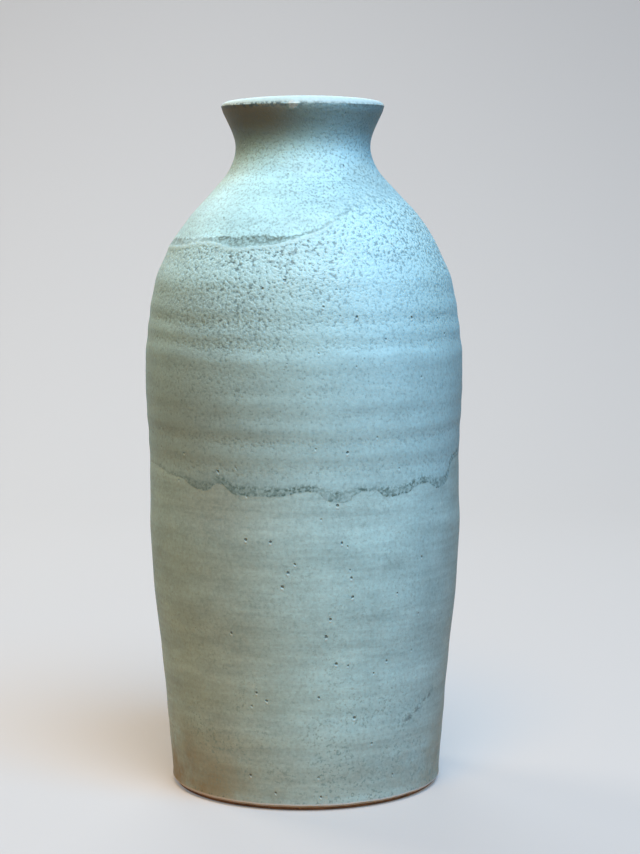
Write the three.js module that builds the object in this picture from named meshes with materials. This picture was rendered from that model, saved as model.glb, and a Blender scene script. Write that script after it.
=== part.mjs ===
// A wheel-thrown stoneware vase: one fired clay pot, two dipped coats of glaze outside and a poured coat inside.
// Millimetres, +Z up, the origin on the table under the middle of the foot, -Y the front.
import * as THREE from 'three';
import { mergeVertices } from 'three/addons/utils/BufferGeometryUtils.js';

// Thrown clay wall, from the table up: the radius at each station, and the rise to it from the one below
const footRadius = 54.2;
const hipRise = 45;
const hipRadius = 57.8;
const waistRise = 45;
const waistRadius = 62.1;
const bellyRise = 45;
const bellyRadius = 62.6;
const crownRise = 37;
const crownRadius = 63.2;
const shoulderRise = 28;
const shoulderRadius = 60.1;
const slopeRise = 18;
const slopeRadius = 54.2;
const collarRise = 13;
const collarRadius = 46.6;
const throatRise = 11;
const throatRadius = 36.8;
const neckBaseRise = 10;
const neckBaseRadius = 28.9;
const neckRise = 11;
const neckRadius = 26.7;
const flareRise = 13.9;
const lipRadius = 32.2;

// Thickness of the clay
const wallThickness = 6;
const lipThickness = 3.6;
const floorThickness = 9;
const floorFillet = 12;

// Turned foot
const footBevel = 1.6;
const footRingWidth = 9;
const footRecess = 2.4;

// Glaze: its thickness, the bond that parts it from what it lies on, and the lines where each coat ends
const glazeThickness = 0.5;
const bond = 0.3;
const footLineHeight = 3;
const waistLineDrop = 3;
const waistLineDip = 4;
const waistLineRipple = 2;
const waistLineRipples = 10;
const shoulderLineClimb = 8;
const shoulderLineSway = 7;
const shoulderLineLean = 3;
const edgeLap = 1.5;
const edgeRamp = 4;
const mouthDepth = 14;

// Fineness of the mesh
const segments = 40;
const stepsPerStation = 2;
const lipSteps = 4;
const filletSteps = 4;

const stations = [
  [0, footRadius],
  [hipRise, hipRadius],
  [waistRise, waistRadius],
  [bellyRise, bellyRadius],
  [crownRise, crownRadius],
  [shoulderRise, shoulderRadius],
  [slopeRise, slopeRadius],
  [collarRise, collarRadius],
  [throatRise, throatRadius],
  [neckBaseRise, neckBaseRadius],
  [neckRise, neckRadius],
  [flareRise, lipRadius],
];

// The wall's outer line as (radius, height), bottom to top
function outerStations() {
  let height = 0;
  return stations.map(([rise, radius]) => {
    height += rise;
    return new THREE.Vector2(radius, height);
  });
}

// The outward normal of a wall line that runs upwards
function outward(curve, t) {
  const tangent = curve.getTangent(t);
  return new THREE.Vector2(tangent.y, -tangent.x);
}

const outerWall = new THREE.SplineCurve(outerStations());

// The inner line stands off the outer one, by less and less from the foot to the lip
const innerWall = new THREE.SplineCurve(
  outerWall.points.map((station, i) => {
    const t = i / (stations.length - 1);
    const thickness = THREE.MathUtils.lerp(wallThickness, lipThickness, t);
    return station.clone().addScaledVector(outward(outerWall, t), -thickness);
  }),
);

// The place along a wall line where it reaches a height
function placeAt(curve, height) {
  const halvings = 40;
  let low = 0;
  let high = 1;
  for (let i = 0; i < halvings; i++) {
    const middle = (low + high) / 2;
    if (curve.getPoint(middle).y < height) low = middle;
    else high = middle;
  }
  return (low + high) / 2;
}

// Points of the clay's two faces, each with its normal out of the clay
function outerFace(t) {
  return { point: outerWall.getPoint(t), normal: outward(outerWall, t) };
}

function innerFace(t) {
  return { point: innerWall.getPoint(t), normal: outward(innerWall, t).negate() };
}

// Evenly spaced numbers, both ends included
function spread(from, to, steps) {
  return Array.from({ length: steps + 1 }, (_, i) => THREE.MathUtils.lerp(from, to, i / steps));
}

// The rows of the clay's facets up each face. The coats keep to the same rows, and so lie along the same facets.
const wallSteps = stepsPerStation * (stations.length - 1);
const filletPlace = placeAt(innerWall, floorThickness + floorFillet);
const outerRows = spread(placeAt(outerWall, footBevel), 1, wallSteps);
const innerRows = spread(filletPlace, 1, wallSteps);

// A point on one of those facets
function onFacet(rows, faceAt, t) {
  const above = rows.findIndex((row, i) => i > 0 && row >= t);
  const below = above - 1;
  const share = (t - rows[below]) / (rows[above] - rows[below]);
  const low = faceAt(rows[below]);
  const high = faceAt(rows[above]);
  return { point: low.point.lerp(high.point, share), normal: low.normal.lerp(high.normal, share) };
}

// One coat's rows up a face between two places, lifted off it. The rows beyond gather on the coat's edges.
function coatRows(rows, faceAt, from, to, lift) {
  return rows.map((row) => ({ face: onFacet(rows, faceAt, THREE.MathUtils.clamp(row, from, to)), lift }));
}

// The round lip, from the outer wall at turn 0 over to the inner wall at turn 1
function lipFace(turn) {
  const { point: edge, normal } = outerFace(1);
  const along = outerWall.getTangent(1);
  const radius = lipThickness / 2;
  const centre = edge.clone().addScaledVector(normal, -radius);
  const angle = Math.PI * turn;
  const lipNormal = normal.clone().multiplyScalar(Math.cos(angle)).addScaledVector(along, Math.sin(angle));
  return { point: centre.addScaledVector(lipNormal, radius), normal: lipNormal };
}

// The round corner between wall and floor, from the wall at turn 0 to the floor at turn 1
function floorFace(turn) {
  const top = innerWall.getPoint(filletPlace);
  const angle = (Math.PI / 2) * turn;
  const normal = new THREE.Vector2(-Math.cos(angle), Math.sin(angle));
  const centre = new THREE.Vector2(top.x - floorFillet, top.y);
  return { point: centre.addScaledVector(normal, -floorFillet), normal };
}

// The lines where the dipped coats end, as heights round the pot; angle 0 is the front.
// One runs just under the belly station, the other just over the station on the shoulder's slope.
const waistLineHeight = hipRise + waistRise + bellyRise - waistLineDrop;
const slopeHeight = hipRise + waistRise + bellyRise + crownRise + shoulderRise + slopeRise;
const shoulderLineHeight = slopeHeight + shoulderLineClimb;

function waistLine(angle) {
  const ripple = waistLineRipple * Math.sin(waistLineRipples * angle);
  return waistLineHeight - waistLineDip * Math.cos(angle) + ripple;
}

function shoulderLine(angle) {
  return shoulderLineHeight + shoulderLineSway * Math.sin(angle) + shoulderLineLean * Math.sin(2 * angle);
}

// Turns a lathed shape, whose axis is +Y, up onto +Z; its first column lands on the front
function standUp(geometry) {
  return geometry.rotateX(Math.PI / 2);
}

// The pot's whole section, from the middle of its underside round to the middle of its floor
function clayBody() {
  const ringInner = footRadius - footBevel - footRingWidth;
  const section = [
    new THREE.Vector2(0, footRecess),
    new THREE.Vector2(ringInner - footRecess, footRecess),
    new THREE.Vector2(ringInner, 0),
    new THREE.Vector2(footRadius - footBevel, 0),
    ...outerRows.map((t) => outerFace(t).point),
    ...spread(0, 1, lipSteps).slice(1, -1).map((turn) => lipFace(turn).point),
    ...innerRows.toReversed().map((t) => innerFace(t).point),
    ...spread(0, 1, filletSteps).slice(1).map((turn) => floorFace(turn).point),
    new THREE.Vector2(0, floorThickness),
  ];
  return standUp(new THREE.LatheGeometry(section, segments));
}

// Joins the rows that have gathered on a coat's edges, and drops the triangles that closed up between them
function gatherEdges(geometry) {
  geometry.deleteAttribute('normal');
  geometry.deleteAttribute('uv');
  const joined = mergeVertices(geometry);
  const corners = joined.getIndex().array;
  const kept = [];
  for (let i = 0; i < corners.length; i += 3) {
    const triangle = corners.slice(i, i + 3);
    if (new Set(triangle).size === 3) kept.push(...triangle);
  }
  joined.setIndex(kept);
  joined.computeVertexNormals();
  return joined;
}

// A coat of glaze: each row is a face of the clay and how far the coat's bond side is lifted off it.
// rowsAt(angle) gives the rows in order along the coat, out over its face and back along its bond.
function coat(rowsAt) {
  const outline = (angle) => {
    const rows = rowsAt(angle);
    const at = ({ face, lift }, extra) => face.point.clone().addScaledVector(face.normal, lift + extra);
    const outside = rows.map((row) => at(row, glazeThickness));
    const inside = rows.map((row) => at(row, 0)).reverse();
    return [...outside, ...inside, outside[0]];
  };
  const geometry = new THREE.LatheGeometry(outline(0), segments);
  const position = geometry.getAttribute('position');
  const rowCount = position.count / (segments + 1);
  for (let column = 0; column <= segments; column++) {
    const angle = ((column % segments) / segments) * 2 * Math.PI;
    outline(angle).forEach(({ x: radius, y: height }, row) => {
      position.setXYZ(column * rowCount + row, radius * Math.sin(angle), height, radius * Math.cos(angle));
    });
  }
  return standUp(gatherEdges(geometry));
}

// First dip: from just above the foot to the line on the shoulder
function lowerCoat() {
  return coat((angle) => {
    const from = placeAt(outerWall, footLineHeight);
    const to = placeAt(outerWall, shoulderLine(angle));
    return coatRows(outerRows, outerFace, from, to, bond);
  });
}

// Second dip: from the waist line up over the first coat's edge, on over the lip and into the mouth
const mouthPlace = placeAt(innerWall, lipFace(0.5).point.y - mouthDepth);

function upperCoat() {
  const liftOverLower = bond + glazeThickness + bond;
  return coat((angle) => {
    const from = placeAt(outerWall, waistLine(angle));
    const lap = placeAt(outerWall, shoulderLine(angle) + edgeLap);
    const ramp = placeAt(outerWall, shoulderLine(angle) + edgeLap + edgeRamp);
    return [
      ...coatRows(outerRows, outerFace, from, lap, liftOverLower),
      ...coatRows(outerRows, outerFace, ramp, 1, bond),
      ...spread(0, 1, lipSteps).slice(1, -1).map((turn) => ({ face: lipFace(turn), lift: bond })),
      ...coatRows(innerRows, innerFace, mouthPlace, 1, bond).reverse(),
    ];
  });
}

// Poured coat inside: from under the second dip's edge in the mouth down to the middle of the floor
function linerCoat() {
  const start = placeAt(innerWall, innerWall.getPoint(mouthPlace).y - bond);
  const floorMiddle = { point: new THREE.Vector2(0, floorThickness), normal: new THREE.Vector2(0, 1) };
  const floor = [...spread(0, 1, filletSteps).slice(1).map(floorFace), floorMiddle];
  const rows = [
    ...coatRows(innerRows, innerFace, filletPlace, start, bond).reverse(),
    ...floor.map((face) => ({ face, lift: bond })),
  ];
  return coat(() => rows);
}

const bareClay = new THREE.MeshStandardMaterial({ color: 0xa9855f, roughness: 0.9, metalness: 0 });
const blueGlaze = new THREE.MeshStandardMaterial({ color: 0x9cc3c8, roughness: 0.6, metalness: 0 });
const paleGlaze = new THREE.MeshStandardMaterial({ color: 0xa9d0d6, roughness: 0.62, metalness: 0 });
const linerGlaze = new THREE.MeshStandardMaterial({ color: 0x9fbfbd, roughness: 0.45, metalness: 0 });

function piece(name, geometry, material) {
  const mesh = new THREE.Mesh(geometry, material);
  mesh.name = name;
  return mesh;
}

const vase = new THREE.Group();
vase.name = 'vase';
vase.add(
  piece('stoneware_body', clayBody(), bareClay),
  piece('lower_glaze_coat', lowerCoat(), blueGlaze),
  piece('upper_glaze_coat', upperCoat(), paleGlaze),
  piece('liner_glaze_coat', linerCoat(), linerGlaze),
);

export default vase;
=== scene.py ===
# A wheel-thrown stoneware vase in two dips of pale blue-green glaze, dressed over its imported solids
import math

import bpy
import numpy as np
from mathutils import Matrix, Vector


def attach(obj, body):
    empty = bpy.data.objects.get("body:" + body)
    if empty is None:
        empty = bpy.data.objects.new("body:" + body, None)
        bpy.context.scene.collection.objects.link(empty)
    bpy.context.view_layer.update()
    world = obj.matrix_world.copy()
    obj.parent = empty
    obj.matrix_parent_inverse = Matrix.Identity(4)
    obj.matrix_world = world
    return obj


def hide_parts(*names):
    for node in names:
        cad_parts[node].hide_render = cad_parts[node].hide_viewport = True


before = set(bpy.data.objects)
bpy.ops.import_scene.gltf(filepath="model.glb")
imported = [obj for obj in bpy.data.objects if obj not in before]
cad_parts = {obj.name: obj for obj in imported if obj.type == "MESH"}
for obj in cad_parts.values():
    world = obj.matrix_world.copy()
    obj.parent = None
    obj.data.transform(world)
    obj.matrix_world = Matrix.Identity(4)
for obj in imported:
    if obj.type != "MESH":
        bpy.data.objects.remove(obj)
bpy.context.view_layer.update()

scene = bpy.context.scene
mm = 0.001
fullTurn = 2 * math.pi
print("frame loaded:", ", ".join(sorted(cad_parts)))


def putInScene(name, data):
    holder = bpy.data.objects.new(name, data)
    scene.collection.objects.link(holder)
    return holder


def forward(operation):
    return lambda wire, other: wire.board.calc(operation, wire, other)


def backward(operation):
    return lambda wire, other: wire.board.calc(operation, other, wire)


# One output of a node, so that sums and products of outputs read as formulas
class Wire:
    def __init__(self, board, socket):
        self.board = board
        self.socket = socket

    __add__ = __radd__ = forward("ADD")
    __mul__ = __rmul__ = forward("MULTIPLY")
    __sub__ = forward("SUBTRACT")
    __rsub__ = backward("SUBTRACT")
    __truediv__ = forward("DIVIDE")
    __rtruediv__ = backward("DIVIDE")


# A node tree, with short ways to put nodes into it
class Board:
    def __init__(self, tree):
        self.tree = tree
        self.source = None

    def feed(self, socket, value):
        if isinstance(value, Wire):
            self.tree.links.new(value.socket, socket)
        else:
            socket.default_value = value

    def add(self, kind, inputs=None, **settings):
        node = self.tree.nodes.new(kind)
        for name, value in settings.items():
            setattr(node, name, value)
        for name, value in (inputs or {}).items():
            self.feed(node.inputs[name], value)
        return node

    def wire(self, kind, inputs=None, output=0, **settings):  # one output of a new node
        return Wire(self, self.add(kind, inputs, **settings).outputs[output])

    def given(self, name):  # one of the tree's own named inputs
        if self.source is None:
            self.source = self.add("NodeGroupInput")
        return Wire(self, self.source.outputs[name])

    def calc(self, operation, *values):
        return self.wire("ShaderNodeMath", dict(enumerate(values)), operation=operation)

    def clamp(self, value):
        return self.wire("ShaderNodeClamp", {"Value": value})

    def fade(self, value, low, high):  # eases from 0 at low to 1 at high
        inputs = {"Value": value, "From Min": low, "From Max": high}
        return self.wire("ShaderNodeMapRange", inputs, interpolation_type="SMOOTHSTEP")

    def over(self, value, span):  # the same, over a span in mm
        return self.fade(value, span[0] * mm, span[1] * mm)

    def between(self, value, spans):  # comes in over one span and goes out over the other
        return self.over(value, spans[0]) * self.over(value, spans[1])

    def upTo(self, value, top, span):  # over a span in mm, measured from a top that varies
        return self.fade(value, top + span[0] * mm, top + span[1] * mm)

    def vector(self, x, y, z):
        return self.wire("ShaderNodeCombineXYZ", {0: x, 1: y, 2: z})

    def parts(self, vector):
        node = self.add("ShaderNodeSeparateXYZ", {0: vector})
        return [Wire(self, socket) for socket in node.outputs]

    def stretch(self, vector, factors):  # each axis times its own factor
        return self.wire("ShaderNodeVectorMath", {0: vector, 1: factors}, operation="MULTIPLY")

    def shift(self, vector, offset):
        return self.wire("ShaderNodeVectorMath", {0: vector, 1: offset}, operation="ADD")

    def noise(self, vector, scale, detail=2.0, roughness=0.5):
        inputs = {"Vector": vector, "Scale": scale, "Detail": detail, "Roughness": roughness}
        return self.wire("ShaderNodeTexNoise", inputs)

    def mix(self, factor, first, second):  # two colours
        return self.wire("ShaderNodeMix", {0: factor, 6: first, 7: second}, 2, data_type="RGBA")

    def roundPot(self, angle, stops):  # a value that changes round the pot, from (degrees, value) stops
        values = [value for _, value in stops]
        low, high = min(values), max(values)
        node = self.add("ShaderNodeFloatCurve", {"Value": angle / fullTurn + 0.5})
        curve = node.mapping.curves[0]
        seam = ((values[0] + values[-1]) / 2 - low) / (high - low)
        for point, x in zip(curve.points, (0, 1)):
            point.location = (x, seam)
        for degrees, value in stops:
            curve.points.new(degrees / 360 + 0.5, (value - low) / (high - low))
        node.mapping.update()
        return Wire(self, node.outputs[0]) * (high - low) + low


# The thrown clay, in mm: the solids' wall line, with a finer lip and the rings the fingers left
thrownWall = {
    "stations": [  # radius and height, foot to lip
        (54.2, 0), (57.8, 45), (62.1, 90), (62.6, 135), (63.2, 172), (60.1, 200), (54.2, 218),
        (46.6, 231), (36.8, 242), (28.9, 252), (26.7, 263), (32.6, 277.2),
    ],
    "footThickness": 6.0,
    "lipThickness": 3.6,
    "floorHeight": 9.0,
    "floorFillet": 12.0,
    "footBevel": 1.6,
    "footRing": 9.0,
    "footRecess": 2.4,
    "stepsPerStation": 32,
    "cornerSteps": 12,
    "lip": [(-0.6, 1.15), (-1.65, 1.95), (-2.65, 2.3), (-3.2, 2.0)],  # from where the outside ends
    "rings": [  # height of each crest and groove, and how far the wall swells there
        (0, 0), (13, -0.06), (19, 0.08), (24, 0.01), (30, 0.12), (39, -0.08), (50, 0.14), (59, -0.05),
        (80, 0.18), (90, 0.06), (109, 0.5), (119, 0.2), (129, 0.22), (136, -0.04), (142, 0.12),
        (147, -0.08), (152, 0.16), (157, 0.0), (162, 0.1), (166, 0.0), (172, 0.06), (179, 0.42),
        (184, -0.08), (188, 0.2), (192, -0.04), (197, 0.3), (202, 0.16), (208, 0.4), (217, 0), (280, 0),
    ],
    "ringsInside": -0.5,  # the same hand inside: shallower, and hollow where the outside swells
}


def splineLine(stations, steps):
    # a smooth line through the stations
    knots = np.array([stations[0], *stations, stations[-1]], float)
    line = []
    for before, start, end, after in zip(knots, knots[1:], knots[2:], knots[3:]):
        leave = (end - before) / 2
        arrive = (after - start) / 2
        for t in np.arange(steps) / steps:
            line.append((2 * t**3 - 3 * t**2 + 1) * start + (t**3 - 2 * t**2 + t) * leave
                        + (3 * t**2 - 2 * t**3) * end + (t**3 - t**2) * arrive)
    line.append(knots[-1])
    return np.array(line)


def arcLine(centre, radius, fromAngle, toAngle, steps):
    angles = np.linspace(fromAngle, toAngle, steps + 1)
    return np.array(centre) + radius * np.stack([np.cos(angles), np.sin(angles)], 1)


def innerStations(wall):
    # the hollow's own stations, square to the outside, by less and less towards the lip
    stations = np.array(wall["stations"], float)
    ahead = np.vstack([stations[1:], stations[-1:]])
    behind = np.vstack([stations[:1], stations[:-1]])
    tangents = ahead - behind
    tangents /= np.linalg.norm(tangents, axis=1)[:, None]
    normals = np.stack([tangents[:, 1], -tangents[:, 0]], 1)
    thickness = np.linspace(wall["footThickness"], wall["lipThickness"], len(stations))
    return stations - normals * thickness[:, None]


def ringRelief(wall, heights):
    # eases from each crest to the next groove
    at, swell = np.array(wall["rings"], float).T
    i = np.clip(np.searchsorted(at, heights) - 1, 0, len(at) - 2)
    share = np.clip((heights - at[i]) / (at[i + 1] - at[i]), 0, 1)
    return swell[i] + (swell[i + 1] - swell[i]) * share * share * (3 - 2 * share)


def wallSection(wall):
    # the clay's whole section as radius, ring relief and height, from the middle of the underside
    # over the lip to the middle of the floor
    steps = wall["cornerSteps"]
    bevel = wall["footBevel"]
    footRadius = wall["stations"][0][0]
    ringInner = footRadius - bevel - wall["footRing"]
    recess = wall["footRecess"]
    share = np.linspace(0, 1, steps + 1)
    step = np.stack([ringInner - recess * (1 - share), recess * (1 - share * share * (3 - 2 * share))], 1)
    underside = np.vstack([[(0, recess)], step])
    bevelArc = arcLine((footRadius - bevel, bevel), bevel, -math.pi / 2, 0, steps)
    outside = splineLine(wall["stations"], wall["stepsPerStation"])
    outside = outside[outside[:, 1] > bevel]
    inner = innerStations(wall)
    lipStations = np.vstack([outside[-1:], outside[-1] + np.array(wall["lip"]), inner[-1:]])
    lip = splineLine(lipStations, steps // 2)[1:-1]
    inside = splineLine(inner, wall["stepsPerStation"])[::-1]
    filletTop = wall["floorHeight"] + wall["floorFillet"]
    inside = inside[inside[:, 1] > filletTop]
    filletCentre = (inside[-1, 0] - wall["floorFillet"], filletTop)
    fillet = arcLine(filletCentre, wall["floorFillet"], 0, -math.pi / 2, steps)
    floor = np.array([(0, wall["floorHeight"])])
    runs = [underside, bevelArc, outside, lip, inside, fillet, floor]
    strengths = [0, 0, 1, 0, wall["ringsInside"], 0, 0]
    places = np.vstack(runs) * mm
    relief = [ringRelief(wall, run[:, 1]) * strength for run, strength in zip(runs, strengths)]
    line = np.stack([places[:, 0], np.hstack(relief) * mm, places[:, 1]], 1)
    travelled = np.hstack([0, np.cumsum(np.linalg.norm(np.diff(line, axis=0), axis=1))])
    ends = np.cumsum([len(run) for run in runs])
    return line, travelled, ends


section, travelled, runEnds = wallSection(thrownWall)
outerRun = slice(runEnds[0], runEnds[2])
innerRun = slice(runEnds[3], runEnds[4])
wallRadius = 62 * mm  # of the belly, where marks are placed by angle


def outerDistance(height):  # how far along the section the outside reaches a height in mm
    return float(np.interp(height * mm, section[outerRun, 2], travelled[outerRun]))


def innerDistance(height):
    return float(np.interp(height * mm, section[innerRun, 2][::-1], travelled[innerRun][::-1]))


def wallCurve():
    curve = bpy.data.curves.new("wallLine", "CURVE")
    curve.dimensions = "3D"
    spline = curve.splines.new("POLY")
    spline.points.add(len(section) - 1)
    for point, place in zip(spline.points, section):
        point.co = (*place, 1)
    return putInScene("wallLine", curve)


wallLine = wallCurve()
print("wall line:", len(section), "points,", round(travelled[-1] / mm), "mm")


# Where the dips end, by angle from the front and height in mm
dipEdges = {
    # second dip's lower edge, and how far its thin dark part reaches up from there
    "waist": [
        (-174, 126, 2.5), (-156, 129, 1.5), (-138, 127, 2.2), (-120, 131, 1.2), (-98, 130, 1.6),
        (-75, 134, 0.8), (-60, 132, 1.0), (-48, 130.5, 1.8), (-37, 127, 2.9), (-32, 130.5, 2.4),
        (-25, 126.1, 3.4), (-10, 126, 3.1), (2, 128, 2.1), (11, 123.5, 4.0), (17, 125, 3.1),
        (22, 127.5, 1.4), (26, 127.5, 1.4), (30, 124.8, 3.4), (39, 125.5, 3.2), (49, 128.5, 2.3),
        (56, 125.5, 3.6), (67, 133.5, 2.5), (80, 136, 2.6), (100, 135, 1.4), (118, 131, 1.8),
        (134, 133, 1.2), (150, 128, 2.4), (168, 130, 1.4),
    ],
    # first dip's upper edge, which shows through as a ridge, and the thin dark band over it
    "shoulder": [
        (-165, 221, 2.4), (-140, 219, 3.2), (-115, 219, 1.2), (-90, 220, 2.4), (-72, 220.2, 4.6),
        (-60, 220.6, 3.8), (-49, 222, 2.7), (-39, 221.7, 4.0), (-29, 220, 5.6), (-22, 220.4, 5.8),
        (-15, 220.9, 5.2), (-4, 223.2, 2.8), (6, 226, 2.2), (13, 229, 2.2), (22, 233, 2.2),
        (30, 235.6, 1.6), (45, 237, 0.8), (60, 238, 0.4), (90, 236, 0.4), (120, 230, 1.0),
        (145, 225, 1.8), (165, 223, 2.0),
    ],
    # how far that ridge has melted away, by angle
    "melted": [
        (-150, 0.3), (-110, 0.6), (-85, 0.1), (-60, 0.0), (-5, 0.0), (7, 0.2), (15, 0.6), (26, 1.0),
        (95, 1.0), (125, 0.6), (160, 0.3),
    ],
    "foot": 1.5,
    "footRagged": 0.9,
    "ragged": 1.5,
    "mouthDepth": 14.0,
    "drip": -7.0,  # degrees from the front, where one drip hangs from the lip
}

# How the hand shows in every piece: noise that runs round the pot and climbs with the wall
hand = {
    "ragged": (24.0, 3.0),
    "ringClimb": 14.0,
    "ringDrift": 1.6,
    "ringStrength": 2.3,
    "roundClimb": 9.0,
    "outOfRound": (0.8, 1.0),
}
meshing = {"weld": 0.01, "crease": 36}  # mm, and degrees
socketTypes = {
    int: "NodeSocketInt",
    float: "NodeSocketFloat",
    bpy.types.Object: "NodeSocketObject",
    bpy.types.Material: "NodeSocketMaterial",
}


# A geometry tree for one piece: the wall line turned round the axis, with the row of each point
# running out over the piece's face and, on a coat, back along its bond
class ThrownTree(Board):
    def __init__(self, name, inputs):
        super().__init__(bpy.data.node_groups.new(name, "GeometryNodeTree"))
        sockets = self.tree.interface
        for socketName, value in inputs.items():
            sockets.new_socket(socketName, in_out="INPUT", socket_type=socketTypes[type(value)])
        sockets.new_socket("Geometry", in_out="OUTPUT", socket_type="NodeSocketGeometry")
        faceRows = self.given("Face Rows")
        bondRows = self.given("Bond Rows")
        rows = faceRows + bondRows
        columns = self.given("Columns")
        sizes = {"Size X": 1.0, "Size Y": 1.0, "Vertices X": columns + 1, "Vertices Y": rows + 1}
        self.mesh = self.wire("GeometryNodeMeshGrid", sizes)
        x, y, _ = self.parts(self.wire("GeometryNodeInputPosition"))
        self.angle = x * fullTurn
        self.sine = self.calc("SINE", self.angle)
        self.cosine = self.calc("COSINE", self.angle)
        row = (y + 0.5) * rows
        self.onFace = self.calc("LESS_THAN", row, faceRows + 0.5)
        back = (rows - row) / self.calc("MAXIMUM", bondRows, 0.5)
        back = back * (1 - self.onFace) + self.onFace
        self.along = self.calc("MINIMUM", row / faceRows, back)
        inputs = {"Object": self.given("Wall Line")}
        self.curve = self.wire("GeometryNodeObjectInfo", inputs, "Geometry", transform_space="ORIGINAL")

    def edge(self, stops, ragged):
        # a dip's edge as a distance along the section, with a little raggedness
        line = self.roundPot(self.angle, [(degrees, outerDistance(height)) for degrees, height, _ in stops])
        place = self.vector(self.sine, self.cosine, 0.0)
        return line + (self.noise(place, *hand["ragged"]) - 0.5) * ragged

    def band(self, stops):
        return self.roundPot(self.angle, [(degrees, width * mm) for degrees, _, width in stops])

    def spreadRows(self, start, middle, end, share=1.0):
        # this share of the rows, gathered towards the middle line from both sides
        split = self.given("Rows Below")
        gather = self.given("Gather")
        along = self.along / share
        below = self.calc("POWER", 1 - self.clamp(along / split), gather)
        above = self.calc("POWER", self.clamp((along - split) / (1 - split)), gather)
        return start + (middle - start) * (1 - below) + (end - middle) * above

    def rolled(self, fromStart, fromEnd):
        # rounds a coat down to nothing at its two edges
        start, end = (1 - self.clamp(gap / self.given("Edge")) for gap in (fromStart, fromEnd))
        return self.calc("SQRT", 1 - self.calc("MAXIMUM", start * start, end * end))

    def sample(self, distance):  # the wall line's position and direction there
        node = self.add("GeometryNodeSampleCurve", {"Curves": self.curve, "Length": distance}, mode="LENGTH")
        return [self.parts(Wire(self, node.outputs[name])) for name in ("Position", "Tangent")]

    def ring(self, distance):
        # the throwing rings drift up and down and come and go round the pot
        place = self.vector(self.sine, self.cosine, distance * hand["ringClimb"])
        drift = (self.noise(place, hand["ringDrift"]) - 0.5) * self.given("Ring Drift")
        strength = self.noise(place, hand["ringStrength"]) * 2
        return self.sample(distance + drift)[0][1] * strength

    def store(self, **values):  # kept on the mesh under these names, for the finishes
        settings = {"data_type": "FLOAT", "domain": "POINT"}
        for name, value in values.items():
            inputs = {"Geometry": self.mesh, "Name": name, "Value": value}
            self.mesh = self.wire("GeometryNodeStoreNamedAttribute", inputs, **settings)

    def finish(self, distance, lift):
        (radius, _, height), (across, _, up) = self.sample(distance)
        proud = self.ring(distance) + lift
        place = self.vector(self.sine, self.cosine, height * hand["roundClimb"])
        wobble = (self.noise(place, *hand["outOfRound"]) - 0.5) * self.given("Out Of Round")
        outwards = radius * (wobble + 1) + up * proud
        # the lip is fuller at the front and back than at the sides
        raised = height - across * proud
        overArris = self.calc("MAXIMUM", raised - self.given("Arris Height"), 0.0)
        raised = raised - overArris * self.sine * self.sine * self.given("Lip Sway")
        position = self.vector(self.sine * outwards, self.cosine * outwards * -1, raised)
        moved = self.wire("GeometryNodeSetPosition", {"Geometry": self.mesh, "Position": position})
        inputs = {"Geometry": moved, "Distance": meshing["weld"] * mm}
        merged = self.wire("GeometryNodeMergeByDistance", inputs)
        smooth = self.wire("GeometryNodeSetShadeSmooth", {"Geometry": merged})
        # a coat's edge is a crease, or its face would shade as if it curled under
        fold = self.wire("GeometryNodeInputMeshEdgeAngle", output="Unsigned Angle")
        sharp = self.calc("GREATER_THAN", fold, math.radians(meshing["crease"]))
        inputs = {"Geometry": smooth, "Selection": sharp, "Shade Smooth": False}
        creased = self.wire("GeometryNodeSetShadeSmooth", inputs, domain="EDGE")
        plain = self.wire("GeometryNodeRealizeInstances", {"Geometry": creased})
        done = self.wire("GeometryNodeSetMaterial", {"Geometry": plain, "Material": self.given("Finish")})
        self.add("NodeGroupOutput", {"Geometry": done})
        return self.tree


def throwPiece(name, tree, inputs, node):
    # runs a tree with its inputs, keeps the result as a plain mesh and stands it in for its solid
    piece = putInScene(name, bpy.data.meshes.new(name))
    modifier = piece.modifiers.new("thrown", "NODES")
    modifier.node_group = tree
    identifiers = {item.name: item.identifier for item in tree.interface.items_tree if item.in_out == "INPUT"}
    for socketName, value in inputs.items():
        modifier[identifiers[socketName]] = value
    depsgraph = bpy.context.evaluated_depsgraph_get()
    evaluated = piece.evaluated_get(depsgraph)
    mesh = bpy.data.meshes.new_from_object(evaluated, preserve_all_data_layers=True, depsgraph=depsgraph)
    piece.modifiers.clear()
    piece.data = mesh
    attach(piece, "root")
    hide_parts(node)
    triangles = sum(len(polygon.vertices) - 2 for polygon in mesh.polygons)
    print(name + ":", triangles, "triangles")
    return piece


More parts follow.
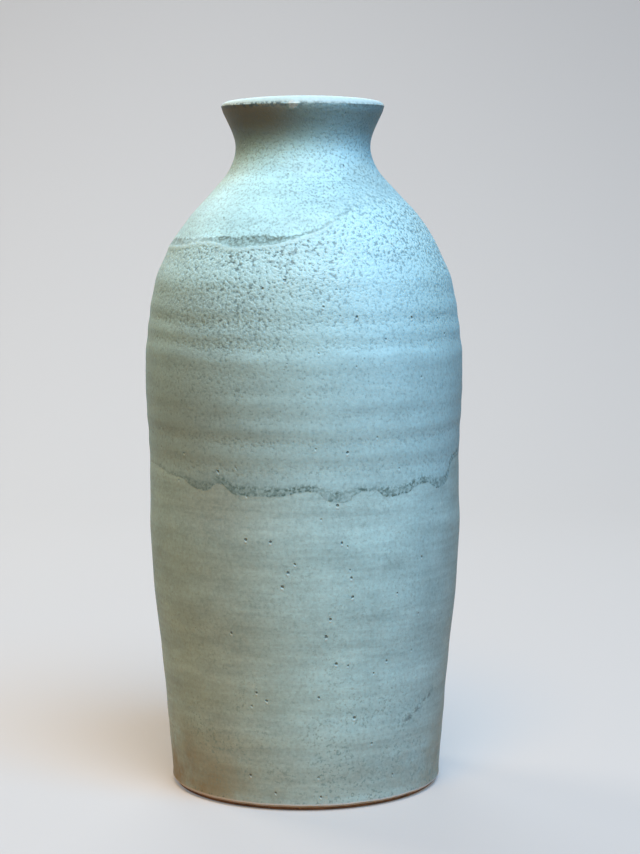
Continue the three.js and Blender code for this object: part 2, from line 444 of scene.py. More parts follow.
# A material that is painted coat by coat. In the dictionaries of looks, a flank is a middle and a reach
# in degrees from the front and a strength, a side is in sines of the angle from the front, a rise, a top
# and a foot are in mm, a noise is a scale, detail and roughness, a patch is a noise and the values it
# eases between, a scatter is a spacing and a radius in mm, a pair of shares is a spread and the least
class Finish(Board):
    def __init__(self, name, look):
        self.material = bpy.data.materials.new(name)
        self.material.use_nodes = True
        super().__init__(self.material.node_tree)
        self.shader = self.tree.nodes["Principled BSDF"]
        self.look = look
        self.colour = look["colour"]
        self.place = self.wire("ShaderNodeTexCoord", output="Object")
        x, y, self.height = self.parts(self.place)
        self.angle = self.calc("ARCTAN2", x, y * -1)
        self.turn = self.calc("SINE", self.angle)
        self.unrolled = self.vector(self.angle * wallRadius, 0.0, self.height)

    def attribute(self, name):
        return self.wire("ShaderNodeAttribute", output="Fac", attribute_name=name)

    def group(self, tree, **inputs):
        node = self.add("ShaderNodeGroup", node_tree=tree)
        for name, value in inputs.items():
            self.feed(node.inputs[name], value)
        return [Wire(self, socket) for socket in node.outputs]

    def flank(self, stretch):
        middle, reach, strength = stretch
        away = self.calc("ABSOLUTE", self.angle - math.radians(middle))
        return self.fade(away, math.radians(reach), 0.0) * strength

    def side(self, name):
        return self.fade(self.turn, *self.look[name])

    def rise(self, value, name):
        return self.over(value, self.look[name])

    def groove(self):  # between the throwing rings
        return self.rise(self.attribute("ring"), "grooveRise") * self.look["grooveShare"]

    def ramp(self, value, name):
        spread, least = self.look[name]
        return value * spread + least

    def patch(self, name, place=None):
        noise, span = self.look[name]
        return self.fade(self.noise(place or self.place, *noise), *span)

    def scatter(self, spacing, radius, place=None):
        place = place or self.place
        return self.group(specks, Place=place, Spacing=spacing * mm, Radius=radius * mm)[0]

    def paint(self, name, mask):  # one of the look's colours over what is there
        self.colour = self.mix(mask, self.colour, self.look[name])

    def tone(self):  # the glaze's own unevenness, which also gives its relief
        self.colour, relief = self.group(glazeTone, Place=self.place, Colour=self.colour, **self.look["tone"])
        return relief

    def relief(self, height):  # height in mm
        bump = self.wire("ShaderNodeBump", {"Strength": 1.0, "Distance": mm, "Height": height})
        self.feed(self.shader.inputs["Normal"], bump)

    def done(self, roughness):
        self.feed(self.shader.inputs["Base Color"], self.colour)
        self.feed(self.shader.inputs["Roughness"], roughness)
        return self.material


def shaderGroup(name, inputs, outputs):
    tree = bpy.data.node_groups.new(name, "ShaderNodeTree")
    for socketName, kind in inputs.items():
        tree.interface.new_socket(socketName, in_out="INPUT", socket_type="NodeSocket" + kind)
    for socketName, kind in outputs.items():
        tree.interface.new_socket(socketName, in_out="OUTPUT", socket_type="NodeSocket" + kind)
    return Board(tree)


toneLook = {
    "layers": {  # how far each is drawn out sideways, and its noise
        "mottle": (1, 55.0, 4.0, 0.6),
        "streak": (9, 45.0, 4.0, 0.6),
        "sweep": (7, 16.0, 2.0, 0.5),
        "grain": (1, 700.0, 4.0, 0.7),
    },
    "sweepShare": 0.7,
    "grainHeight": 0.05,
    "mottleHeight": 0.1,
}


def glazeToneGroup(look):
    # cloudy mottling, streaks along the throwing lines and a fine grain
    board = shaderGroup(
        "glazeTone",
        {"Place": "Vector", "Colour": "Color", "Mottle": "Float", "Streak": "Float", "Grain": "Float"},
        {"Colour": "Color", "Height": "Float"})
    layer = {}
    for name, (drawn, *noise) in look["layers"].items():
        layer[name] = board.noise(board.stretch(board.given("Place"), (1, 1, drawn)), *noise) - 0.5
    lines = (layer["streak"] + layer["sweep"] * look["sweepShare"]) * board.given("Streak")
    tone = 1 + layer["mottle"] * board.given("Mottle") + lines + layer["grain"] * board.given("Grain")
    inputs = {0: board.given("Colour"), "Scale": tone}
    colour = board.wire("ShaderNodeVectorMath", inputs, operation="SCALE")
    height = layer["grain"] * look["grainHeight"] + layer["mottle"] * look["mottleHeight"]
    board.add("NodeGroupOutput", {"Colour": colour, "Height": height})
    return board.tree


speckLook = {"ruffle": 0.6, "ruffleScale": 1500.0, "core": 0.45}


def specksGroup(look):
    # scattered round specks, each a slice of a ball, so no two are one size
    inputs = {"Place": "Vector", "Spacing": "Float", "Radius": "Float"}
    board = shaderGroup("specks", inputs, {"Speck": "Float"})
    place = board.given("Place")
    spacing = board.given("Spacing")
    radius = board.given("Radius")
    ruffle = (board.noise(place, look["ruffleScale"]) - 0.5) * radius * look["ruffle"]
    cells = board.wire("ShaderNodeTexVoronoi", {"Vector": place, "Scale": 1 / spacing}, "Distance")
    gap = cells * spacing + ruffle
    board.add("NodeGroupOutput", {"Speck": board.fade(gap, radius, radius * look["core"])})
    return board.tree


glazeTone = glazeToneGroup(toneLook)
specks = specksGroup(speckLook)

bareClay = {
    "colour": (0.27, 0.185, 0.12, 1),
    "burnt": (0.1, 0.062, 0.04, 1),
    "grit": (0.45, 0.36, 0.26, 1),
    "burntPatch": ((90.0, 5.0, 0.65), (0.4, 0.7)),
    "gritScatter": (2.2, 0.45), "gritShare": 0.7, "gritHeight": 0.08,
    "toothNoise": (900.0, 3.0), "toothHeight": 0.12,
    "roughness": 0.9,
}


def clayFinish(look):
    board = Finish("bareStoneware", look)
    board.paint("burnt", board.patch("burntPatch"))
    grit = board.scatter(*look["gritScatter"])
    board.paint("grit", grit * look["gritShare"])
    tooth = board.noise(board.place, *look["toothNoise"])
    board.relief(tooth * look["toothHeight"] + grit * look["gritHeight"])
    return board.done(look["roughness"])


# Pinholes in both dips, in mm
pinhole = {
    "radius": 0.75, "core": 0.3, "ruffle": 1.4, "ruffleScale": 900.0,
    "scatterRadius": 0.6, "scatterShare": 0.5,
    "rimDrop": 0.95, "rimHighlightShare": 0.55, "rimHeight": 0.1, "pitDepth": 0.4,
}


def pinholes(board, look):
    # dark pits with a painted highlight on the lower rim: the listed ones and a sparse scatter of smaller
    # ones
    radius = pinhole["radius"] * mm
    masks = []
    for drop in (0.0, pinhole["rimDrop"] * mm):
        nearest = None
        for degrees, height, size in look["pinholes"]:
            inputs = {0: board.unrolled, 1: (math.radians(degrees) * wallRadius, 0, height * mm - drop)}
            gap = board.wire("ShaderNodeVectorMath", inputs, "Value", operation="DISTANCE") / size
            nearest = gap if nearest is None else board.calc("MINIMUM", nearest, gap)
        place = board.shift(board.place, (0, 0, drop))
        ruffle = (board.noise(place, pinhole["ruffleScale"]) - 0.5) * radius * pinhole["ruffle"]
        listed = board.fade(nearest + ruffle, radius, radius * pinhole["core"])
        scattered = board.scatter(look["pinholeSpacing"], pinhole["scatterRadius"], place)
        masks.append(board.calc("MAXIMUM", listed, scattered * pinhole["scatterShare"]))
    pit = masks[0]
    rimHighlight = masks[1] * (1 - pit)
    # the lower rim lighter: a painted highlight
    board.paint("rimHighlight", rimHighlight * pinhole["rimHighlightShare"])
    board.paint("pit", pit * look["pinholeShare"])
    return rimHighlight * pinhole["rimHeight"] - pit * pinhole["pitDepth"]


lowerGlaze = {
    "colour": (0.385, 0.6, 0.62, 1),
    "deep": (0.19, 0.31, 0.31, 1),
    # an olive brown, for painted shade down the flanks and painted warm bounce light and shade low down
    "oliveShadeAndBounce": (0.24, 0.2, 0.095, 1),
    "pit": (0.03, 0.05, 0.055, 1),
    # pale, for a painted highlight on the pinholes' lower rims
    "rimHighlight": (0.62, 0.82, 0.84, 1),
    # a paler blue-green, for painted light over the front
    "paintedFrontLight": (0.43, 0.7, 0.735, 1),
    "footLine": (0.56, 0.57, 0.56, 1),  # the pale line where the glaze stops over the bare foot, partly a painted highlight on its rounded edge
    "tone": {"Mottle": 0.5, "Streak": 0.6, "Grain": 0.7},
    "frontLightFlank": (20, 46, 1.0), "frontLightRise": (12, 45),  # painted light over the front
    "shadeFlanks": [(-30, 38, 0.18), (90, 44, 0.48)],  # painted shade down both flanks
    "waistRise": (104.5, 114.5), "waistLightLoss": 0.6, "waistShade": 0.9,
    "crestShadeStep": (112.5, 110.5), "crestShadeShare": 0.07,  # painted shade below the ring crest: a step to a deeper tone below
    "grooveRise": (0.15, -0.25), "grooveShare": 0.08,
    "breathNoise": (70.0, 4.0, 0.62), "breathSpan": (0.25, 0.6),
    "oliveRise": (46, 0), "oliveShare": 0.9, "footRise": (30, 6), "footShare": 0.12,
    "oliveLeft": (-0.2, -1.0), "oliveRight": (0.6, 1.0), "rightShare": 0.4, "sideShare": (0.75, 0.25),
    "clusterPatch": ((48.0, 3.0), (0.42, 0.62)), "clusterRise": (75, 15), "clusterShare": (0.7, 0.15),
    "speckScatter": (3.0, 0.55), "speckShare": 0.6,
    "fleckPatch": ((800.0, 3.0, 0.6), (0.47, 0.35)), "fleckShare": (0.7, 0.25),
    "smear": [(40, 31), (63, 43.5)],  # its two ends: degrees from the front, mm up
    "smearWidth": (2.2, 0.4), "smearEnds": 0.2,
    "smearPatch": ((380.0, 3.0), (0.58, 0.42)), "smearDrawn": 1.6, "smearShare": 0.6,
    "footLineRise": (1.9, 1.3), "footLineShare": 0.75,
    "footFleckRise": (3.6, 1.6), "footFleckSpan": (0.4, 0.6), "footFleckShare": 0.6,
    "pinholes": [  # degrees from the front, mm up, share of the full radius
        (-21, 109, 0.9), (-12, 108.5, 0.9), (13, 108, 0.8), (15, 106.6, 0.6), (-3.5, 100, 0.7),
        (-6, 96.5, 0.9), (-8, 91, 1.1), (16.5, 94, 0.9), (17, 86.5, 0.9), (9, 78, 0.9), (7.5, 71, 1.2),
        (-28, 71.5, 0.9), (11.5, 60, 1.0), (16, 59, 0.6), (26.5, 55, 0.6), (32, 59.5, 0.7),
        (35, 86.5, 0.6), (46.5, 99.5, 0.6), (-45, 71.5, 0.5), (-19, 48, 0.7), (-15, 45, 0.9),
        (5, 46.5, 0.8), (19, 37.5, 1.0), (11.5, 122.5, 1.0), (-23, 14, 0.8), (-12.5, 7.5, 0.8),
        (6, 6, 0.8), (38, 12, 0.7),
    ],
    "pinholeSpacing": 11.0, "pinholeShare": 0.7,
    "roughness": 0.62, "roughSpread": 0.2,
}


def lowerFinish(look):
    board = Finish("lowerGlaze", look)
    nearWaist = board.rise(board.height, "waistRise")
    # painted light over the front, less near the waist
    paintedFrontLight = board.flank(look["frontLightFlank"]) * board.rise(board.height, "frontLightRise")
    board.paint("paintedFrontLight", paintedFrontLight * (1 - nearWaist * look["waistLightLoss"]))
    # painted shade down both flanks, more on the left just under the waist
    left, right = (board.flank(stretch) for stretch in look["shadeFlanks"])
    board.paint("oliveShadeAndBounce", left * (nearWaist * look["waistShade"] + 1) + right)
    relief = board.tone()
    # painted shade below the ring crest at the tone step, and deeper in the grooves of the rings
    below = board.rise(board.height, "crestShadeStep") * look["crestShadeShare"]
    board.paint("deep", below + board.groove())
    # painted warm bounce light and shade over the foot, in patches, stronger at the sides
    breath = board.noise(board.place, *look["breathNoise"])
    sides = board.calc("MAXIMUM", board.side("oliveLeft"), board.side("oliveRight") * look["rightShare"])
    oliveShadeAndBounce = board.rise(board.height, "oliveRise") * board.fade(breath, *look["breathSpan"])
    oliveShadeAndBounce = oliveShadeAndBounce * look["oliveShare"] + board.rise(board.height, "footRise") * look["footShare"]
    board.paint("oliveShadeAndBounce", board.clamp(oliveShadeAndBounce * board.ramp(sides, "sideShare")))
    # dark specks in clusters, most of them low down
    low = board.rise(board.height, "clusterRise")
    cluster = board.patch("clusterPatch") * board.ramp(low, "clusterShare")
    board.paint("deep", board.scatter(*look["speckScatter"]) * cluster * look["speckShare"])
    fleck = board.patch("fleckPatch")
    board.paint("deep", fleck * board.ramp(cluster, "fleckShare"))
    dash = board.patch("smearPatch", board.stretch(board.place, (1, 1, look["smearDrawn"])))
    board.paint("pit", board.attribute("smear") * dash * look["smearShare"])
    holes = pinholes(board, look)
    # over the bare foot it stops in a pale line, partly a painted highlight on its rounded edge, with a few
    # dark flecks over it
    aboveFoot = board.attribute("aboveFoot")
    footEdge = board.rise(aboveFoot, "footLineRise")
    flecked = board.rise(aboveFoot, "footFleckRise") * (1 - footEdge) * fleck
    board.paint("pit", flecked * board.fade(breath, *look["footFleckSpan"]) * look["footFleckShare"])
    board.paint("footLine", footEdge * look["footLineShare"])
    board.relief(relief + holes)
    return board.done(look["roughness"] + (breath - 0.5) * look["roughSpread"])


# Rises here are above the shoulder line, the waist line or the lip's arris
upperGlaze = {
    "colour": (0.372, 0.598, 0.63, 1),
    # pale: the beads, partly a painted highlight, and a painted highlight along the ridge
    "pale": (0.465, 0.72, 0.745, 1),
    "deep": (0.09, 0.155, 0.175, 1),
    "pit": (0.07, 0.12, 0.13, 1),
    # pale, for a painted highlight on the pinholes' lower rims
    "rimHighlight": (0.62, 0.84, 0.86, 1),
    # a paler blue-green, for painted light over the front of the shoulder
    "paintedFrontLight": (0.42, 0.72, 0.76, 1),
    "teal": (0.2, 0.42, 0.52, 1),
    # a light blue, for a painted sheen
    "blueSheen": (0.44, 0.76, 0.86, 1),
    "band": (0.085, 0.16, 0.15, 1),
    # a brown, for painted shade: down the flanks of the shoulder, on the left of the lip and under the lip
    "thin": (0.15, 0.135, 0.085, 1),
    "lip": (0.6, 0.68, 0.65, 1),
    "tone": {"Mottle": 0.3, "Streak": 0.4, "Grain": 0.7},
    "rightSide": (-0.2, 0.9), "leftSide": (0.5, -0.5),
    "lineRise": (-5, 5),
    # painted light over the front of the shoulder
    "frontLightDegrees": (100, 40), "frontLightRise": (-75, -20), "frontLightShare": (0.4, 0.6),
    "sheenFlank": (29, 38, 0.95), "sheenRise": (-120, -25),  # painted blue sheen on the right front
    "neckRise": (14, 24), "neckSheen": 0.5,
    # heights where it is thinner on the steep of the shoulder
    "steepHeights": [(232, 241), (253, 245)], "steepSide": (-0.4, 0.25), "tealShare": 0.28,
    "shadeFlanks": [(-38, 50, 0.35), (92, 44, 0.4)],  # painted shade down both flanks
    "shadeRises": [(-8, -24), (-45, -80)],
    # over the first dip, whose end is soft where it has melted, it crawled into beads with pits between
    "meltedReach": 18.0, "underFoot": (-6.0, -0.9),
    "crawlRise": (-66, 4), "crawlLean": 12.0, "crawlRight": 0.15,
    "crawlNoise": (65.0, 2.0), "crawlShare": (0.8, 0.6),
    "crawlSide": (-1.0, -0.4), "sideShare": (0.6, 0.4),
    "grooveRise": (0.2, -0.25), "grooveShare": 0.4,
    "grainSize": 1.25, "beadSpan": (0.47, 0.6), "beadShare": 0.9, "beadHeight": 0.6,
    "pitStart": 0.42, "pitCrawl": 0.04, "pitRight": 0.05, "pitSoft": 0.13, "pitShare": (0.6, 0.25),
    "palerSide": (-0.3, 0.4), "palerShare": 0.3,
    "gapRise": (-13, -3), "gapPatch": ((480.0, 2.0), (0.45, 0.35)), "gapShare": 0.6,
    "fleckRises": [(-30, -45), (-95, -60)], "fleckScatter": (3.2, 0.5), "fleckShare": 0.4,
    # the finer grain above
    "fineGrain": 0.95, "fineSpan": (0.5, 0.36), "fineShare": (0.24, 0.36), "fineSteep": 0.2,
    "fineRise": (-22, -8), "fineLoss": 0.5, "fineDepth": 0.05,
    # the dark band over the ridge, and the painted highlight along the ridge
    "fretNoise": (520.0, 3.0), "fretReach": 4.0, "mottleNoise": (780.0, 2.0),
    "bandTop": (0.6, -0.4), "bandFoot": (0.2, 1.2), "bandShare": (0.4, 0.6),
    "bandWidths": (0.8, 4.5), "widthShare": (0.5, 0.6), "clotSpan": (0.57, 0.45), "clotShare": (0.45, 0.5),
    "meltedLoss": 0.5, "ridgeRises": [(-1.3, -0.3), (1.2, 0.3)], "ridgeHighlightShare": 0.75,
    # the lower edge
    "edgeFret": 0.5, "edgeFoot": (-0.2, 0.5), "edgeTop": (0.5, -0.6), "edgeShare": 0.32,
    "edgeSide": (-1.0, -0.25), "dottedTop": (1.8, -0.2), "dottedShare": 0.68,
    "insideFoot": (0.5, 1.2), "insideTop": (-0.4, -1.2), "insideLoss": 0.35,
    "stipplePatch": ((850.0, 2.0), (0.56, 0.44)),
    "brokenPatch": ((150.0, 2.0), (0.34, 0.56)), "brokenShare": (0.5, 0.5),
    # the lip, the painted shade on it and under it, and the drip under it
    "lipRise": (-0.3, 0.3), "lipShare": 0.45, "lipShade": (0.14, 0.02),
    "underLipShadeStart": (-7.0, -17.0), "underLipShadeFull": -6.0, "underLipShadeShare": (0.55, 0.38),
    "dripSpan": (0.3, 0.55), "dripShare": 0.8,
    "dotPatch": ((720.0, 3.0), (0.56, 0.42)), "dotShare": (0.6, 0.35), "dotRises": [(-1.6, -0.5), (1.2, 0.1)],
    "pinholes": [
        (15, 143, 1.0), (-32, 135, 0.9), (-48, 141, 0.7), (-7, 209, 1.0), (-15, 206, 0.8), (7, 199, 0.8),
        (19, 195, 0.8), (42, 194, 0.9), (57, 193, 0.7), (33, 253, 0.9),
    ],
    "pinholeSpacing": 8.0, "pinholeShare": 0.75,
    "roughness": 0.6, "roughSpread": 0.15,
}


def steepShoulder(board, look):
    return board.between(board.height, look["steepHeights"]) * board.side("steepSide")


def upperGround(board, look):
    # painted light over the front of the shoulder, a painted blue sheen on the right front and the neck,
    # painted shade down both flanks
    aboveShoulder = board.attribute("aboveShoulder")
    above = board.rise(aboveShoulder, "lineRise")
    start, full = (math.radians(degrees) for degrees in look["frontLightDegrees"])
    front = board.fade(board.calc("ABSOLUTE", board.angle), start, full)
    paintedFrontLight = board.rise(aboveShoulder, "frontLightRise") * front * board.ramp(above, "frontLightShare")
    board.paint("paintedFrontLight", paintedFrontLight * (1 - above * board.side("rightSide")))
    # painted blue sheen on the right front of the shoulder, and on the neck
    onNeck = board.rise(aboveShoulder, "neckRise") * look["neckSheen"]
    blueSheen = board.flank(look["sheenFlank"]) * board.rise(aboveShoulder, "sheenRise")
    board.paint("blueSheen", blueSheen * (1 - above + onNeck))
    board.paint("teal", steepShoulder(board, look) * look["tealShare"])
    # painted shade down both flanks, in brown
    left, right = (
        board.flank(stretch) * board.over(aboveShoulder, rise)
        for stretch, rise in zip(look["shadeFlanks"], look["shadeRises"]))
    board.paint("thin", left + right)
    return board.tone()


def crawledGlaze(board, look, under):
    # pale beads, partly painted highlight, and dark pits, most under the ridge, in patches and in the grooves
    # of the rings
    aboveShoulder = board.attribute("aboveShoulder")
    rightwards = board.side("rightSide")
    fromLeft = board.ramp(board.side("crawlSide"), "sideShare")
    reach = board.rise(aboveShoulder + rightwards * (look["crawlLean"] * mm), "crawlRise")
    patchy = board.ramp(board.noise(board.place, *look["crawlNoise"]), "crawlShare")
    crawl = under * (reach * patchy + board.groove()) * (1 - rightwards * look["crawlRight"]) * fromLeft
    crawl = board.clamp(crawl)
    grain = board.noise(board.place, 1 / (look["grainSize"] * mm))
    # pale beads, partly a painted highlight
    board.paint("pale", board.fade(grain, *look["beadSpan"]) * crawl * look["beadShare"])
    pitStart = look["pitStart"] + crawl * look["pitCrawl"] + rightwards * look["pitRight"]
    pits = board.fade(grain, pitStart, pitStart - look["pitSoft"]) * under * board.ramp(crawl, "pitShare")
    board.paint("pit", pits * (1 - board.side("palerSide") * look["palerShare"]))
    # larger ones close under the ridge, and a few small flecks further down
    close = board.rise(aboveShoulder, "gapRise") * under * (1 - board.attribute("melted")) * fromLeft
    board.paint("pit", board.patch("gapPatch") * close * look["gapShare"])
    flecks = board.scatter(*look["fleckScatter"]) * board.between(aboveShoulder, look["fleckRises"])
    board.paint("pit", flecks * fromLeft * look["fleckShare"])
    return (grain - 0.5) * crawl * look["beadHeight"]


def fineSpecks(board, look, under):
    # a finer, fainter grain above the ridge, up to the lip
    aboveArris = board.attribute("aboveArris")
    fine = board.fade(board.noise(board.place, 1 / (look["fineGrain"] * mm)), *look["fineSpan"])
    specked = fine * (1 - under) * (1 - board.rise(aboveArris, "lipRise"))
    amount = board.ramp(board.side("rightSide"), "fineShare") + steepShoulder(board, look) * look["fineSteep"]
    amount = amount * (1 - board.rise(aboveArris, "fineRise") * look["fineLoss"])
    board.paint("deep", specked * amount)
    return specked * -look["fineDepth"]


def ridgeBand(board, look, fret, mottle):
    # thin dark band over the ridge, darkest along its ragged top, and a painted highlight along the ridge
    aboveShoulder = board.attribute("aboveShoulder")
    top = board.attribute("shoulderBand")
    melted = board.attribute("melted")
    frayed = aboveShoulder + fret
    dark = board.upTo(frayed, top, look["bandTop"]) * board.rise(frayed, "bandFoot")
    dark = dark * board.ramp(board.fade(aboveShoulder, 0.0, top), "bandShare")
    dark = dark * board.ramp(board.rise(top, "bandWidths"), "widthShare")
    dark = dark * board.ramp(board.fade(mottle, *look["clotSpan"]), "clotShare")
    board.paint("band", dark * (1 - melted * look["meltedLoss"]))
    # painted highlight along the ridge
    ridge = board.between(aboveShoulder, look["ridgeRises"]) * (1 - melted)
    board.paint("pale", ridge * look["ridgeHighlightShare"])


def waistEdge(board, look, fret):
    # lower edge: thin and stippled dark, most along its two ragged outlines
    top = board.attribute("waistBand")
    frayed = board.attribute("aboveWaist") + fret * look["edgeFret"]
    foot = board.rise(frayed, "edgeFoot")
    edge = board.upTo(frayed, top, look["edgeTop"]) * foot * look["edgeShare"]
    dotted = board.upTo(frayed, top, look["dottedTop"]) * foot * look["dottedShare"]
    inside = board.upTo(frayed, top, look["insideTop"]) * board.rise(frayed, "insideFoot")
    dark = (dotted * board.patch("stipplePatch") + edge) * (1 - inside * look["insideLoss"])
    dark = dark * board.ramp(board.side("edgeSide"), "sideShare")
    board.paint("band", dark * board.ramp(board.patch("brokenPatch"), "brokenShare"))


def lipAndItsShade(board, look):
    aboveArris = board.attribute("aboveArris")
    drip = board.attribute("drip")
    leftwards = board.side("leftSide")
    onLip = board.rise(aboveArris, "lipRise")
    board.paint("lip", onLip * look["lipShare"])
    # painted shade on the lip, most on the left
    board.paint("thin", onLip * board.ramp(leftwards, "lipShade"))
    # painted shade under the lip, most on the left: brown on the left, deep blue-green on the right
    start = board.ramp(leftwards, "underLipShadeStart") * mm
    underLip = board.fade(aboveArris, start, look["underLipShadeFull"] * mm) * (1 - onLip) * (1 - drip)
    underLipShadeColour = board.mix(leftwards, look["deep"], look["thin"])
    board.colour = board.mix(underLip * board.ramp(leftwards, "underLipShadeShare"), board.colour, underLipShadeColour)
    board.paint("lip", board.fade(drip, *look["dripSpan"]) * look["dripShare"])
    # dark dots where it broke over the arris, fewer on the lip
    dots = board.patch("dotPatch") * board.ramp(leftwards, "dotShare") * (1 - drip)
    board.paint("pit", dots * board.between(aboveArris, look["dotRises"]))


def upperFinish(look):
    board = Finish("upperGlaze", look)
    relief = upperGround(board, look)
    # where the first dip lies under it, or has melted into it
    melted = board.attribute("melted")
    top = melted * (look["meltedReach"] * mm)
    foot = board.ramp(melted, "underFoot") * mm
    under = board.fade(board.attribute("aboveShoulder"), top, foot)
    relief = relief + crawledGlaze(board, look, under)
    relief = relief + fineSpecks(board, look, under)
    fret = (board.noise(board.place, *look["fretNoise"]) - 0.5) * (look["fretReach"] * mm)
    mottle = board.noise(board.place, *look["mottleNoise"])
    ridgeBand(board, look, fret, mottle)
    waistEdge(board, look, fret)
    lipAndItsShade(board, look)
    board.relief(relief + pinholes(board, look))
    return board.done(look["roughness"] + (mottle - 0.5) * look["roughSpread"])


linerGlaze = {
    "colour": (0.347, 0.521, 0.509, 1),
    "deep": (0.16, 0.25, 0.24, 1),
    "tone": {"Mottle": 0.3, "Streak": 0.3, "Grain": 0.14},
    "grooveRise": (0.1, -0.2), "grooveShare": 0.2,
    "speckScatter": (4.0, 0.5), "speckShare": 0.5,
    "roughness": 0.42,
}


def linerFinish(look):
    board = Finish("linerGlaze", look)
    board.relief(board.tone())
    board.paint("deep", board.groove())
    board.paint("deep", board.scatter(*look["speckScatter"]) * look["speckShare"])
    return board.done(look["roughness"])


clayMaterial = clayFinish(bareClay)
lowerMaterial = lowerFinish(lowerGlaze)
upperMaterial = upperFinish(upperGlaze)
linerMaterial = linerFinish(linerGlaze)
print("finishes made")


# What every thrown piece is given. Its own rows and shares, and its sizes in mm, are added by their names
thrown = {
    "Wall Line": wallLine, "Ring Drift": 5.0 * mm, "Out Of Round": 0.012,
    "Arris Height": thrownWall["stations"][-1][1] * mm, "Lip Sway": 0.34,
}
wholeLength = float(travelled[-1])
mouthTop = section[:, 2].max() / mm


def treeInputs(look, material, distances):
    sizes = {name: size * mm for name, size in look["sizes"].items()}
    return {**thrown, **look["rows"], **sizes, **distances, "Finish": material}


# Clay body: the whole section, closed on the axis at both ends
clayBody = {
    "rows": {"Columns": 200, "Face Rows": 230, "Bond Rows": 0, "Rows Below": 0.3, "Gather": 1.25},
    "sizes": {},
    "footTop": 6.0,
}


def makeBody(look):
    distances = {"Foot Top": outerDistance(look["footTop"]), "Length": wholeLength}
    inputs = treeInputs(look, clayMaterial, distances)
    tree = ThrownTree("thrownBody", inputs)
    distance = tree.spreadRows(0.0, tree.given("Foot Top"), tree.given("Length"))
    return throwPiece("vase_body", tree.finish(distance, 0.0), inputs, "stoneware_body")


# First dip: foot to shoulder
lowerCoat = {
    "rows": {"Columns": 400, "Face Rows": 176, "Bond Rows": 62, "Rows Below": 0.66, "Gather": 1.0},
    "sizes": {
        "Bond": 0.1, "Face": 0.8, "Foot Roll": 0.25, "Edge": 0.9, "Over Waist": 4.0,
        "Foot Ragged": dipEdges["footRagged"], "Ragged": dipEdges["ragged"],
    },
    "footNoise": (5.0, 4.0),
    "rollRise": (4, 1),
}


def smearMask(tree, look, distance):
    (startTurn, startHeight), (endTurn, endHeight) = look["smear"]
    share = (tree.angle * (360 / fullTurn) - startTurn) / (endTurn - startTurn)
    line = outerDistance(startHeight) + share * (outerDistance(endHeight) - outerDistance(startHeight))
    across = tree.over(tree.calc("ABSOLUTE", distance - line), look["smearWidth"])
    return across * tree.fade(share, 0.0, look["smearEnds"]) * tree.fade(share, 1.0, 1 - look["smearEnds"])


def makeLowerCoat(look):
    inputs = treeInputs(look, lowerMaterial, {"Foot Line": outerDistance(dipEdges["foot"])})
    tree = ThrownTree("firstDip", inputs)
    place = tree.vector(tree.sine, tree.cosine, 0.0)
    ragged = (tree.noise(place, *look["footNoise"]) - 0.5) * tree.given("Foot Ragged")
    foot = tree.given("Foot Line") + ragged
    waist = tree.edge(dipEdges["waist"], tree.given("Ragged"))
    shoulder = tree.edge(dipEdges["shoulder"], tree.given("Ragged"))
    distance = tree.spreadRows(foot, waist + tree.given("Over Waist"), shoulder)
    # rounded edges, and a roll where the glaze gathered over the foot
    overFoot = distance - foot
    roll = tree.given("Foot Roll") * tree.over(overFoot, look["rollRise"])
    depth = tree.given("Face") - tree.given("Bond") + roll
    depth = depth * tree.rolled(overFoot, shoulder - distance)
    smear = smearMask(tree, lowerGlaze, distance)
    tree.store(aboveFoot=overFoot, ring=tree.ring(distance), smear=smear)
    lift = tree.given("Bond") + depth * tree.onFace
    return throwPiece("lower_glaze", tree.finish(distance, lift), inputs, "lower_glaze_coat")


# Second dip: waist to mouth, over the first dip's upper edge
upperCoat = {
    "rows": {
        "Columns": 400, "Face Rows": 180, "Bond Rows": 64, "Rows Below": 0.58, "Gather": 1.3,
        "Rows To Arris": 0.85, "Thin At Arris": 0.5,
    },
    "sizes": {
        "Bond Over Lower": 0.83, "Bond Over Clay": 0.1, "Edge Depth": 0.03, "Depth": 0.7, "Thin Reach": 40.0,
        "Ridge": 0.2, "Ridge Start": 0.4, "Ridge Drop": 5.0, "Melted Drop": 30.0, "Edge": 0.5,
        "Arris Reach": 2.5, "Drip": 0.55, "Drip Drop": 0.45, "Drip Reach": 2.1, "Drip Ragged": 2.0,
        "Ragged": dipEdges["ragged"],
    },
    "ridgeRises": [(-1.8, 0), (2.0, 0.3)],
    "dripSquash": 0.6,
    "dripNoise": 30.0,
}
dripRadius = thrownWall["stations"][-1][0] * mm


def dripMask(tree, look, distance):
    # one drip that hangs from the lip's arris
    across = (tree.angle - math.radians(dipEdges["drip"])) * dripRadius * look["dripSquash"]
    down = distance - tree.given("Lip Arris") + tree.given("Drip Drop")
    place = tree.vector(tree.sine, tree.cosine, distance / dripRadius)
    uneven = (tree.noise(place, look["dripNoise"]) - 0.5) * tree.given("Drip Ragged")
    gap = tree.calc("SQRT", across * across + down * down) + uneven
    return tree.fade(gap, tree.given("Drip Reach"), 0.0)


